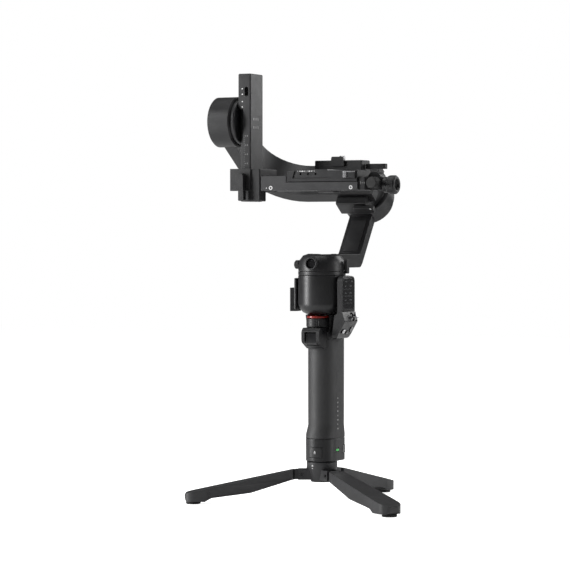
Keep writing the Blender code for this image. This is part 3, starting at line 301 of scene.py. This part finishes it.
def trimCarriage(piece):
    # under the beam the carriage is only a short block at the front
    trim = {"blockDepth": 0.0155, "intoBeam": 0.0012, "past": 0.001}
    low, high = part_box("height_carriage")
    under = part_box("camera_beam")[0].z
    carve(piece, (low.x - trim["past"], low.y + trim["blockDepth"], low.z - trim["past"]),
          (high.x + trim["past"], high.y + trim["past"], under + trim["intoBeam"]))


def finishPart(node):
    # a part keeps its shape; where its edges show, a copy with softened edges stands for it
    look, edge = partFinish[node]
    if edge == 0:
        for slot in nodes[node].material_slots:
            slot.material = paint[look]
        return None
    piece = copyOf(node, node + "_finished")
    if node == "height_carriage":
        trimCarriage(piece)
    soften(piece, edge, 2)
    dress(piece, bodyOf[node], paint[look])
    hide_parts(node)
    return piece


finished = {node: finishPart(node) for node in sorted(nodes)}
print("parts finished")


def sinkFaces(piece, test, rim, depth):
    # insets the chosen faces and lowers them against their own direction
    pickFaces(piece, test)
    form = bmesh.from_edit_mesh(piece.data)
    if not any(face.select for face in form.faces):
        leaveEdit()
        print("no face to sink on", piece.name)
        return
    bpy.ops.mesh.inset(thickness=rim, depth=-depth, use_even_offset=True)
    leaveEdit()


def panelLegs():
    # sunk panels along the top and sides of each leg leave a rim round it
    panel = {"topArea": 0.0008, "topRim": 0.0026, "topDepth": 0.0008,
             "sideArea": 0.0004, "sideRim": 0.0016, "sideDepth": 0.0004}
    for number in (1, 2, 3):
        piece = finished[f"leg_{number}"]
        sinkFaces(piece, lambda face: face.normal.z > 0.9 and face.calc_area() > panel["topArea"],
                  panel["topRim"], panel["topDepth"])
        sinkFaces(piece, lambda face: abs(face.normal.z) < 0.2 and face.calc_area() > panel["sideArea"],
                  panel["sideRim"], panel["sideDepth"])
        only(piece)
        bpy.ops.object.shade_smooth_by_angle(angle=math.radians(34))
        apply(piece, "WEIGHTED_NORMAL", keep_sharp=True, weight=60)


panelLegs()
print("parts shaped")


markLift = 0.00004       # how far the middle of a printed mark stands off its face
inkDepth = 0.00012


def facing(normal):
    # the turn that brings a piece's own up to this direction
    return Vector(normal).to_track_quat("Z", "Y").to_euler()


def dot(place, normal, radius, depth=inkDepth, sides=24):
    bpy.ops.object.select_all(action="DESELECT")
    bpy.ops.mesh.primitive_cylinder_add(vertices=sides, radius=radius, depth=depth, location=place,
                                        rotation=facing(normal))
    piece = bpy.context.object
    settle(piece)
    return piece


def ring(place, normal, radius, width):
    # a flat printed ring: a thin torus pressed flat
    bpy.ops.object.select_all(action="DESELECT")
    bpy.ops.mesh.primitive_torus_add(major_radius=radius, minor_radius=width / 2, major_segments=36,
                                     minor_segments=8, location=place, rotation=facing(normal))
    piece = bpy.context.object
    piece.scale.z = inkDepth / width
    settle(piece)
    return piece


def bar(place, size):
    # a thin printed or moulded strip; its size runs along X, Y and Z
    bpy.ops.object.select_all(action="DESELECT")
    bpy.ops.mesh.primitive_cube_add(size=1, location=place)
    piece = bpy.context.object
    piece.dimensions = size
    settle(piece)
    return piece


def seat(piece, start, direction):
    # where a line from outside meets the piece, and which way the face there looks
    bpy.context.view_layer.update()
    hit, place, normal, face = piece.ray_cast(Vector(start), Vector(direction))
    if not hit:
        print("nothing to sit on at", piece.name)
    return place, normal


def gather(name, pieces, body, material, edge=0.00003, segments=1):
    # joins the marks of one place into one piece and softens their edges
    bpy.ops.object.select_all(action="DESELECT")
    for piece in pieces:
        piece.select_set(True)
    bpy.context.view_layer.objects.active = pieces[0]
    if len(pieces) > 1:
        bpy.ops.object.join()
    joined = bpy.context.object
    joined.name = name
    joined.data.name = name
    settle(joined)
    soften(joined, edge, segments)
    return dress(joined, body, paint[material])


def capScrew(name, place, normal, radius, body, sink=0.0006):
    # socket-head screw: rounded head with a six-sided socket
    height = radius * 0.5
    spot = Vector(place) + Vector(normal) * (height / 2 - sink)
    bpy.ops.object.select_all(action="DESELECT")
    bpy.ops.mesh.primitive_cylinder_add(vertices=28, radius=radius, depth=height, location=spot,
                                        rotation=facing(normal))
    head = bpy.context.object
    bpy.ops.mesh.primitive_cylinder_add(vertices=6, radius=radius * 0.58, depth=height,
                                        location=spot + Vector(normal) * height * 0.35,
                                        rotation=facing(normal))
    socket = bpy.context.object
    apply(head, "BOOLEAN", operation="DIFFERENCE", object=socket, solver="EXACT")
    bpy.data.objects.remove(socket)
    settle(head)
    soften(head, radius * 0.10, 2)
    head.name = name
    return dress(head, body, paint["blackScrew"])


def ribbedSleeve(name, centre, axis, radius, length, body, look):
    # gripping band: every second facet round it stands proud
    design = {"facets": 60, "proud": look.get("proud", 0.0004), "wall": 0.0006}
    bpy.ops.object.select_all(action="DESELECT")
    bpy.ops.mesh.primitive_cylinder_add(vertices=design["facets"], radius=radius, depth=length,
                                        location=centre, rotation=facing(axis), end_fill_type="NOTHING")
    sleeve = bpy.context.object
    settle(sleeve)
    order = {face.index: number for number, face in enumerate(sleeve.data.polygons)}
    pickFaces(sleeve, lambda face: order[face.index] % 2 == 0)
    bpy.ops.mesh.extrude_region_shrink_fatten(
        TRANSFORM_OT_shrink_fatten={"value": design["proud"]})
    leaveEdit()
    apply(sleeve, "SOLIDIFY", thickness=design["wall"], offset=-1)
    soften(sleeve, 0.00009, 1, 40)
    sleeve.name = name
    return dress(sleeve, body, paint[look["paint"]])


def makeTiltMarks():
    # four index dots, the height scale and two rows of side ticks; a tick is from left, wide, tall
    look = {"dotsFromLeft": 0.0053, "dotsDown": (0.0165, 0.0225, 0.0305, 0.0363), "dotRadius": 0.00075,
            "ticks": 7, "firstTick": 0.068, "tickStep": 0.010, "clear": 0.002, "tick": (0.0092, 0.0020, 0.0005),
            "post": (0.0116, 0.0007, 0.0017), "small": (0.0077, 0.0010, 0.0003), "smallStep": 0.002,
            "smallTicks": 4, "sideDown": (0.0495, 0.0585), "sideFromFront": 0.0075, "sideStep": 0.0037,
            "sideWidths": (0.0022, 0.0012), "sideHeight": 0.0026, "sideTicks": 4}
    low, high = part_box("tilt_bar")
    front, right = low.y - markLift, high.x + markLift
    dots = [dot((low.x + look["dotsFromLeft"], front, high.z - down), (0, -1, 0), look["dotRadius"])
            for down in look["dotsDown"]]
    gather("tilt_bar_dots", dots, "tilt_head", "whiteInk")

    def tick(kind, height):
        fromLeft, wide, tall = look[kind]
        return bar((low.x + fromLeft, front, height), (wide, inkDepth, tall))

    lines = []
    for number in range(look["ticks"]):
        height = high.z - look["firstTick"] - number * look["tickStep"]
        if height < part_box("height_carriage")[1].z + look["clear"]:
            break
        lines += [tick("tick", height), tick("post", height)]
        lines += [tick("small", height - (part + 1) * look["smallStep"])
                  for part in range(look["smallTicks"])]
    gather("tilt_bar_scale", lines, "tilt_head", "greyInk")
    dashes = [bar((right, low.y + look["sideFromFront"] + column * look["sideStep"], high.z - down),
                  (inkDepth, look["sideWidths"][column % 2], look["sideHeight"]))
              for down in look["sideDown"] for column in range(look["sideTicks"])]
    gather("tilt_bar_side_marks", dashes, "tilt_head", "greyInk")


def makeBeamMarks():
    # a ring and wedge at the beam's left, a ring at its right
    look = {"left": 0.0122, "leftUp": 0.0054, "leftRing": 0.00165, "wedgeLeft": 0.0052, "wedgeDown": 0.0002,
            "wedge": 0.0009, "right": 0.0078, "rightUp": 0.0053, "rightRing": 0.0016, "band": 0.0011}
    low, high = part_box("camera_beam")
    front = low.y - markLift
    left = Vector((low.x + look["left"], front, low.z + look["leftUp"]))
    marks = [ring(left, (0, -1, 0), look["leftRing"], look["band"]),
             dot(left - Vector((look["wedgeLeft"], 0, look["wedgeDown"])), (0, -1, 0), look["wedge"],
                 sides=3)]
    gather("beam_left_mark", marks, "carriage", "whiteInk")
    right = (high.x - look["right"], front, low.z + look["rightUp"])
    gather("beam_right_mark", [ring(right, (0, -1, 0), look["rightRing"], look["band"])], "carriage",
           "whiteInk")


def makePlateMarks():
    # a row of index ticks along the camera plate's front
    look = {"widths": (0.0006, 0.0012, 0.0022, 0.0010, 0.0006, 0.0022, 0.0012, 0.0006),
            "first": 0.0135,
            "step": 0.0028, "up": 0.0073, "tall": 0.0011}
    low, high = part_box("camera_plate")
    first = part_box("plate_receiver")[0].x + look["first"]
    row = [bar((first + number * look["step"], low.y - markLift, low.z + look["up"]),
               (width, inkDepth, look["tall"])) for number, width in enumerate(look["widths"])]
    gather("plate_front_marks", row, "camera_plate", "whiteInk")


def makeKnobMarks():
    # three small dashes on the knob housing; each is wide, tall
    look = {"dashes": ((0.0005, 0.0032), (0.0009, 0.0006), (0.0005, 0.0018)), "first": 0.0024,
            "step": 0.0022, "up": 0.0075}
    low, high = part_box("knob_housing")
    dashes = [bar((low.x + look["first"] + number * look["step"], low.y - markLift, low.z + look["up"]),
                  (width, inkDepth, tall)) for number, (width, tall) in enumerate(look["dashes"])]
    gather("knob_housing_marks", dashes, "carriage", "greyInk")


def makeRollMarks():
    look = {"fromEnd": 0.0030, "outside": 0.005, "radius": 0.0011}
    low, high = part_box("roll_lever")
    start = (high.x - look["fromEnd"], low.y - look["outside"], (low.z + high.z) / 2)
    place, normal = seat(finished["roll_lever"], start, (0, 1, 0))
    gather("roll_lever_dot", [dot(place, normal, look["radius"])], "roll_lever", "whiteInk")


def makeLatchIcon():
    # a wedge over a bar
    look = {"lift": 0.00003, "depth": 0.00016, "wedge": 0.0014, "wedgeUp": 0.0006, "barDown": 0.0012,
            "bar": (0.0024, 0.0005)}
    low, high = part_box("latch_button")
    centre = Vector(((low.x + high.x) / 2, low.y - look["lift"], (low.z + high.z) / 2))
    marks = [dot(centre + Vector((0, 0, look["wedgeUp"])), (0, -1, 0), look["wedge"], look["depth"], 3),
             bar(centre - Vector((0, 0, look["barDown"])), (look["bar"][0], look["depth"], look["bar"][1]))]
    gather("latch_icon", marks, "latch", "whiteInk")


def makeStatusMarks():
    # two green lights and the ring on the battery button
    look = {"lift": 0.00002, "first": 0.0013, "step": 0.0034, "light": 0.00125, "ring": 0.0016,
            "band": 0.0005}
    low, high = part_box("status_light")
    lights = [dot((high.x + look["lift"], low.y + look["first"] + number * look["step"],
                   (low.z + high.z) / 2), (1, 0, 0), look["light"]) for number in range(2)]
    gather("status_dots", lights, "handle", "greenLight")
    low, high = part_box("battery_button")
    place = (high.x + look["lift"], (low.y + high.y) / 2, (low.z + high.z) / 2)
    gather("battery_button_mark", [ring(place, (1, 0, 0), look["ring"], look["band"])], "battery_key",
           "greyInk")


def makeGripMarks():
    # a column of plain ticks that follows the grip's side
    look = {"count": 8, "first": 0.010, "step": 0.0047, "fromFront": 0.0215, "widths": (0.0030, 0.0018),
            "height": 0.0016, "proud": 0.00003, "depth": 0.0002, "outside": 0.005}
    low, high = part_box("grip_shell")
    ticks = []
    for number in range(look["count"]):
        start = (high.x + look["outside"], low.y + look["fromFront"],
                 low.z + look["first"] + number * look["step"])
        place, normal = seat(finished["grip_shell"], start, (-1, 0, 0))
        ticks.append(bar(place + normal * look["proud"],
                         (look["depth"], look["widths"][number % 2], look["height"])))
    gather("grip_side_marks", ticks, "handle", "greyInk")


def makeHubArrow():
    look = {"turn": -12, "radius": 0.01672, "wedge": 0.0013, "wedgeHeight": 0.0420, "dot": 0.0005,
            "dotHeight": 0.0392, "depth": 0.00016}
    turn = math.radians(look["turn"])
    out = Vector((math.sin(turn), -math.cos(turn), 0))
    spot = Vector((panAxis.x, panAxis.y, 0)) + out * look["radius"]
    arrow = [dot(spot + Vector((0, 0, look["wedgeHeight"])), out, look["wedge"], look["depth"], 3),
             dot(spot + Vector((0, 0, look["dotHeight"])), out, look["dot"], look["depth"])]
    gather("hub_arrow", arrow, "handle", "whiteInk")


def makeSleeves():
    # gripping bands on the knobs and the dial
    fine = {"fromEnd": 0.0045, "radius": 0.00985, "length": 0.0056, "ring": 0.0075, "band": 0.0007,
            "lift": 0.00001}
    low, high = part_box("fine_tuning_knob")
    centre = Vector((high.x - fine["fromEnd"], (low.y + high.y) / 2, (low.z + high.z) / 2))
    ribbedSleeve("fine_knob_ribs", centre, (1, 0, 0), fine["radius"], fine["length"], "fine_knob",
                 {"paint": "satinBlack", "proud": 0.00030})
    gather("fine_knob_ring", [ring((high.x + fine["lift"], centre.y, centre.z), (1, 0, 0), fine["ring"],
                                   fine["band"])], "fine_knob", "greyAnodised")
    bands = {
        "lock_knob": {"body": "lock_knob", "axis": (0, 1, 0), "shift": (0, 0.0005, 0), "radius": 0.00622,
                      "length": 0.0092, "paint": "rubber", "proud": 0.00018},
        "pan_knob": {"body": "pan_knob", "axis": (1, 0, 0), "shift": (-0.0001, 0, 0), "radius": 0.00452,
                     "length": 0.0038, "paint": "satinBlack", "proud": 0.00025},
        "front_dial": {"body": "dial", "axis": (0, 0, 1), "shift": (0, 0, 0), "radius": 0.01241,
                       "length": 0.0072, "paint": "satinBlack", "proud": 0.00014},
    }
    for node, band in bands.items():
        low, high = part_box(node)
        ribbedSleeve(node + "_ribs", (low + high) / 2 + Vector(band["shift"]), band["axis"], band["radius"],
                     band["length"], band["body"], band)


def makeMotorScrews():
    # four on the roll motor's rear cover, three on the tilt motor's cup
    design = {"cover": 0.0013, "coverCircle": 0.0195, "coverRear": 0.0039, "cup": 0.0016, "cupCircle": 0.018,
              "sink": 0.0002}
    low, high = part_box("roll_cover")
    across = Vector(rollAxis).normalized()
    upward = Vector((0, across.z, -across.y))
    outward = across if across.y > 0 else -across
    rear = (low + high) / 2 + outward * design["coverRear"]
    for number in range(4):
        angle = math.radians(45 + 90 * number)
        spot = rear + (Vector((1, 0, 0)) * math.cos(angle) + upward * math.sin(angle)) * design["coverCircle"]
        capScrew(f"roll_cover_screw_{number + 1}", spot, outward, design["cover"], "pan_arm", design["sink"])
    low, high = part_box("roll_arm")
    for number in range(3):
        angle = math.radians(90 + 120 * number)
        spot = (low.x, tiltAxis.y + design["cupCircle"] * math.cos(angle),
                tiltAxis.z + design["cupCircle"] * math.sin(angle))
        capScrew(f"tilt_cup_screw_{number + 1}", spot, (-1, 0, 0), design["cup"], "roll_arm", design["sink"])


def makeSmallScrews():
    # underside of the carriage and beam, the accessory mount and the spine
    design = {"radius": 0.0014, "sink": 0.0002, "carriageIn": 0.006, "carriageBack": (0.0042, 0.0115),
              "beamAlong": (0.010, 0.100), "beamUp": 0.0022, "mountIn": 0.0060, "mountFromRear": 0.0035,
              "mountFromEnd": 0.004, "spineDown": (0.006, 0.032)}
    low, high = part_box("height_carriage")
    spots = [("carriage_screw", "carriage", (0, 0, -1), (high.x - design["carriageIn"], low.y + back, low.z))
             for back in design["carriageBack"]]
    low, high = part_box("camera_beam")
    spots += [("beam_screw", "carriage", (0, 0, -1),
               (low.x + along, (low.y + high.y) / 2, low.z + design["beamUp"]))
              for along in design["beamAlong"]]
    low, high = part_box("accessory_mount")
    spots += [("mount_screw", "handle", (-1, 0, 0),
               (low.x + design["mountIn"], high.y - design["mountFromRear"], height))
              for height in (low.z + design["mountFromEnd"], high.z - design["mountFromEnd"])]
    low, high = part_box("control_panel")
    spots += [("spine_screw", "handle", (0, 1, 0), (panAxis.x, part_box("head_housing")[1].y, high.z - down))
              for down in design["spineDown"]]
    for number, (name, body, normal, place) in enumerate(spots):
        capScrew(f"{name}_{number % 2 + 1}", place, normal, design["radius"], body, design["sink"])


def makePanelMarks():
    # plain bars on the screen and the dot on the mode button
    look = {"lift": 0.00003, "depth": 0.0001, "signalLeft": 0.008, "signalStep": 0.0014, "signalDown": 0.0035,
            "signalWide": 0.0009, "signalTall": 0.0006, "signalGrow": 0.0004, "cell": (0.0040, 0.0016),
            "cellRight": 0.0085, "cellDown": 0.0033, "rows": 3, "rowUp": 0.005, "rowStep": 0.0075,
            "line": (0.0190, 0.00025), "labelUp": 0.0032, "labels": ((-0.0070, 0.0035), (0.0055, 0.0060)),
            "labelTall": 0.0012, "dotIn": 0.0009, "dotUp": 0.0016, "dotNormal": (0.93, 0, -0.36),
            "dot": 0.0006}
    low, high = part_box("screen")
    face = high.x + look["lift"]
    middle = (low + high) / 2
    bars = [bar((face, middle.y - look["signalLeft"] + number * look["signalStep"],
                 high.z - look["signalDown"]),
                (look["depth"], look["signalWide"], look["signalTall"] + number * look["signalGrow"]))
            for number in range(4)]
    bars.append(bar((face, middle.y + look["cellRight"], high.z - look["cellDown"]),
                    (look["depth"], *look["cell"])))
    for number in range(look["rows"]):
        height = middle.z + look["rowUp"] - number * look["rowStep"]
        bars.append(bar((face, middle.y, height), (look["depth"], *look["line"])))
        bars += [bar((face, middle.y + aside, height + look["labelUp"]),
                     (look["depth"], wide, look["labelTall"])) for aside, wide in look["labels"]]
    gather("screen_marks", bars, "handle", "screenInk")
    low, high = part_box("mode_button")
    place = (high.x - look["dotIn"], (low.y + high.y) / 2, low.z + look["dotUp"])
    gather("mode_button_dot", [dot(place, look["dotNormal"], look["dot"])], "mode_key",
           "whiteInk")


def makeClampRing():
    # light rim of the clamp's screw boss
    rim = {"radius": 0.0060, "wire": 0.00055, "around": 48, "section": 10}
    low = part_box("pan_clamp")[0]
    screwLow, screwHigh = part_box("pan_clamp_screw")
    centre = (screwLow + screwHigh) / 2
    bpy.ops.object.select_all(action="DESELECT")
    bpy.ops.mesh.primitive_torus_add(major_radius=rim["radius"], minor_radius=rim["wire"],
                                     major_segments=rim["around"], minor_segments=rim["section"],
                                     location=(centre.x, low.y, centre.z), rotation=facing((0, -1, 0)))
    piece = bpy.context.object
    settle(piece)
    only(piece)
    bpy.ops.object.shade_smooth()
    piece.name = "clamp_screw_rim"
    dress(piece, "pan_head", paint["greyAnodised"])


def makeArmPanel():
    # the plate that lies in the pan arm's sunk front, on the roll axis' own slope
    size = {"halfWidth": 0.0093, "top": -0.0342, "foot": -0.0758, "front": 0.1389, "back": 0.1403,
            "edge": 0.0004}
    across = Vector(rollAxis).normalized()
    slope = math.atan2(abs(across.z), abs(across.y))
    plate = bar((0, (size["front"] + size["back"]) / 2, (size["top"] + size["foot"]) / 2),
                (2 * size["halfWidth"], size["back"] - size["front"], size["top"] - size["foot"]))
    soften(plate, size["edge"], 2)
    plate.matrix_world = (Matrix.Translation((panAxis.x, tiltAxis.y, tiltAxis.z))
                          @ Matrix.Rotation(-slope, 4, "X"))
    settle(plate)
    plate.name = "arm_panel_plate"
    dress(plate, "pan_arm", paint["greyAnodised"])


def makeLatchFinger():
    # bright strip and ribbed finger tab on the plate latch; a size is wide, deep, tall
    look = {"proud": 0.0001, "stripDown": 0.0007, "stripShort": 0.0006, "strip": (0.0010, 0.0012),
            "tabIn": 0.0024, "tab": (0.0040, 0.0012), "tabShort": 0.0012, "rib": (0.0036, 0.0005, 0.0006),
            "ribProud": 0.0008, "ribUp": 0.0016, "ribStep": 0.0013, "ribs": 5, "edge": 0.00012}
    low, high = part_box("plate_latch")
    strip = bar(((low.x + high.x) / 2, low.y - look["proud"], high.z - look["stripDown"]),
                (high.x - low.x - look["stripShort"], *look["strip"]))
    tab = bar((low.x + look["tabIn"], low.y - look["proud"], (low.z + high.z) / 2),
              (*look["tab"], high.z - low.z - look["tabShort"]))
    ribs = [bar((low.x + look["tabIn"], low.y - look["ribProud"],
                 low.z + look["ribUp"] + step * look["ribStep"]), look["rib"])
            for step in range(look["ribs"])]
    gather("latch_finger", [strip, tab] + ribs, "plate_latch", "steel", look["edge"], 2)


makeTiltMarks()
makeBeamMarks()
makePlateMarks()
makeKnobMarks()
makeClampRing()
makeArmPanel()
makeLatchFinger()
makeRollMarks()
makeLatchIcon()
makeStatusMarks()
makeGripMarks()
makeHubArrow()
makePanelMarks()
print("printed marks made")
makeSleeves()
makeMotorScrews()
makeSmallScrews()
print("knobs and screws made")


def makeStage():
    bpy.ops.mesh.primitive_plane_add(size=8, location=(panAxis.x, panAxis.y, -0.0002))
    floor = bpy.context.object
    floor.name = "floor"
    white = bpy.data.materials.new("paleFloor")
    white.use_nodes = True
    shader = white.node_tree.nodes["Principled BSDF"]
    shader.inputs["Base Color"].default_value = (0.95, 0.95, 0.95, 1)
    shader.inputs["Emission Color"].default_value = (1.0, 1.0, 1.0, 1)
    glow = white.node_tree.nodes.new("ShaderNodeLightPath")     # the floor is bright, but lights nothing
    share = white.node_tree.nodes.new("ShaderNodeMath")
    share.operation = "MULTIPLY"
    share.inputs[1].default_value = 0.9
    white.node_tree.links.new(glow.outputs["Is Camera Ray"], share.inputs[0])
    white.node_tree.links.new(share.outputs[0], shader.inputs["Emission Strength"])
    shader.inputs["Roughness"].default_value = 0.9
    floor.data.materials.append(white)
    world = bpy.data.worlds.new("studio")
    bpy.context.scene.world = world
    world.use_nodes = True
    tree, link = world.node_tree.nodes, world.node_tree.links.new
    sky = tree["Background"]
    sky.inputs["Color"].default_value = (1.0, 1.0, 1.0, 1)
    seen = tree.new("ShaderNodeLightPath")      # a white backdrop that gives only soft fill
    strength = tree.new("ShaderNodeMapRange")
    strength.inputs["To Min"].default_value = 0.10
    strength.inputs["To Max"].default_value = 1.0
    link(seen.outputs["Is Camera Ray"], strength.inputs["Value"])
    link(strength.outputs["Result"], sky.inputs["Strength"])
    bpy.context.scene.view_settings.view_transform = "Standard"
    lamps = {
        "leftWindow": {"place": (-1.05, -0.75, 0.50), "size": (0.32, 1.3), "power": 24},
        "rightWindow": {"place": (1.35, 0.35, 0.45), "size": (0.30, 1.2), "power": 6},
        "topPanel": {"place": (0.0, 0.0, 1.5), "size": (1.0, 1.0), "power": 9},
        "backRim": {"place": (0.6, 1.1, 0.8), "size": (0.7, 0.7), "power": 6},
    }
    for name, lamp in lamps.items():
        bpy.ops.object.light_add(type="AREA")
        light = bpy.context.object
        light.name = name
        light.data.shape = "RECTANGLE"
        light.data.size, light.data.size_y = lamp["size"]
        light.data.energy = lamp["power"]
        light.location = panAxis.xy.to_3d() + Vector(lamp["place"])
        aim = Vector((panAxis.x, panAxis.y, 0.26)) - light.location
        light.rotation_euler = aim.to_track_quat("-Z", "Y").to_euler()


def makeCamera():
    view = {"turn": math.radians(26), "distance": 2.592, "eye": 0.290, "lens": 151.6,
            "shift": (-0.0649, -0.0877)}
    back = Vector((math.sin(view["turn"]), -math.cos(view["turn"]), 0))
    place = panAxis.xy.to_3d() + back * view["distance"]
    place.z = view["eye"]
    bpy.ops.object.camera_add(location=place, rotation=(math.radians(90), 0, view["turn"]))
    camera = bpy.context.object
    camera.data.lens = view["lens"]
    camera.data.sensor_width = 36
    camera.data.shift_x, camera.data.shift_y = view["shift"]
    bpy.context.scene.camera = camera


makeStage()
makeCamera()
